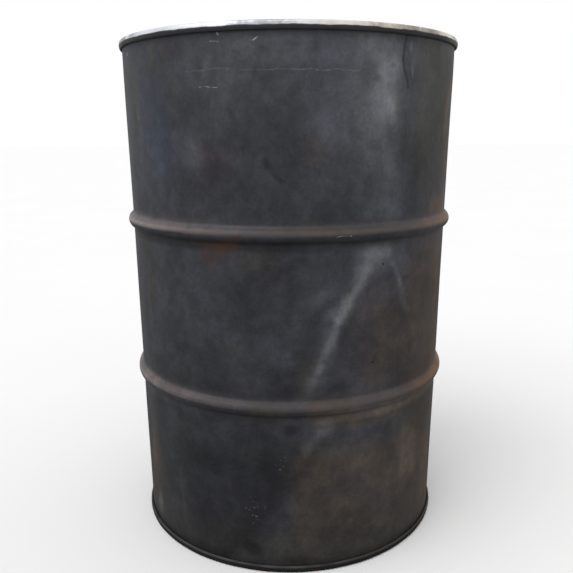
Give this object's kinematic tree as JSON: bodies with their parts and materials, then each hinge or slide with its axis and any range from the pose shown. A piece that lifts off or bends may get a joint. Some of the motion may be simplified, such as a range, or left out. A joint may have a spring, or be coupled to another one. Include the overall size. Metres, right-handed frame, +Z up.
{
  "type": "steel drum",
  "caption": "Closed-head steel drum for oil, with two rolling hoops, folded chimes and two screwed closures of different size in its top.",
  "frame": {"origin": "on the floor under the middle of the drum, in the plane of the bottom chime's lowest edge", "axes": "+Z up the drum's axis, +X from the large closure to the small closure, +Y to the far side"},
  "size_m": [0.5916, 0.5916, 0.876],
  "materials": {
    "shell_steel": "bare steel darkened by heat and weather, with brown rust on the hoops and edges",
    "head_steel": "the same darkened steel, worn bright along the chimes",
    "closure_steel": "dull zinc plating with light rust",
    "gasket_rubber": "matt black rubber",
    "seam_compound": "matt brown sealing compound"
  },
  "bodies": {
    "drum": {"shell": "shell_steel", "top_head": "head_steel", "bottom_head": "head_steel", "top_seam_compound": "seam_compound", "bottom_seam_compound": "seam_compound", "large_flange": "closure_steel", "large_flange_gasket": "gasket_rubber", "small_flange": "closure_steel", "small_flange_gasket": "gasket_rubber"},
    "large_plug_gasket": {"large_plug_gasket": "gasket_rubber"},
    "large_plug": {"large_plug": "closure_steel"},
    "small_plug_gasket": {"small_plug_gasket": "gasket_rubber"},
    "small_plug": {"small_plug": "closure_steel"}
  },
  "joints": [
    {"name": "large_plug_lift", "type": "slide", "parent": "drum", "child": "large_plug_gasket", "axis": [0, 0, 1], "range_m": [0, 0.0163]},
    {"name": "large_plug_turn", "type": "hinge", "parent": "large_plug_gasket", "child": "large_plug", "pos_m": [-0.216, 0, 0.86], "axis": [0, 0, 1], "range_deg": [0, 2520]},
    {"name": "small_plug_lift", "type": "slide", "parent": "drum", "child": "small_plug_gasket", "axis": [0, 0, 1], "range_m": [0, 0.0137]},
    {"name": "small_plug_turn", "type": "hinge", "parent": "small_plug_gasket", "child": "small_plug", "pos_m": [0.216, 0, 0.86], "axis": [0, 0, 1], "range_deg": [0, 2700]}
  ],
  "couplings": [
    {"joint": "large_plug_lift", "follows": "large_plug_turn", "m_per_rad": 0.00036749},
    {"joint": "small_plug_lift", "follows": "small_plug_turn", "m_per_rad": 0.00028871}
  ]
}
